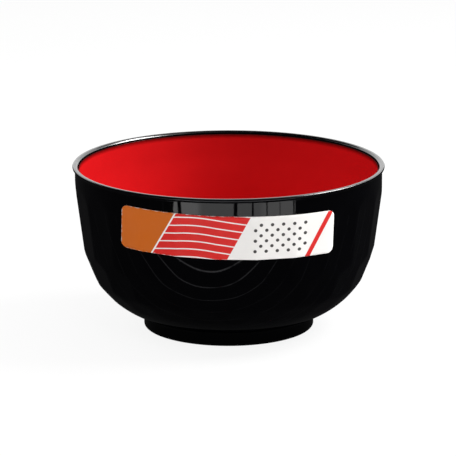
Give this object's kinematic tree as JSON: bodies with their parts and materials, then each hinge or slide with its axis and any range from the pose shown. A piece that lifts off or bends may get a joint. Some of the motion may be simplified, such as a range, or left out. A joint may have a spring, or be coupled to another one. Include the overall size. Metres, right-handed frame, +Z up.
{
  "type": "donburi bowl",
  "caption": "Deep round resin donburi bowl with flared lip, faceted lower body and foot ring, black outside and red inside, with a wrap label on its front.",
  "frame": {"origin": "centre of the foot ring's underside", "axes": "+Z up along the bowl's axis, -Y towards the front with the label, +X to the viewer's right"},
  "size_m": [0.14, 0.14, 0.0745],
  "materials": {
    "black_resin": "high gloss, moulded wood-grain relief",
    "red_coat": "gloss lacquer-look coat",
    "label_glue": "clear tacky film",
    "label_print": "glossy printed film in red, orange and white"
  },
  "bodies": {
    "root": {"bowl_shell": "black_resin", "red_lining": "red_coat", "label_adhesive": "label_glue", "label_sheet": "label_print"}
  },
  "joints": []
}
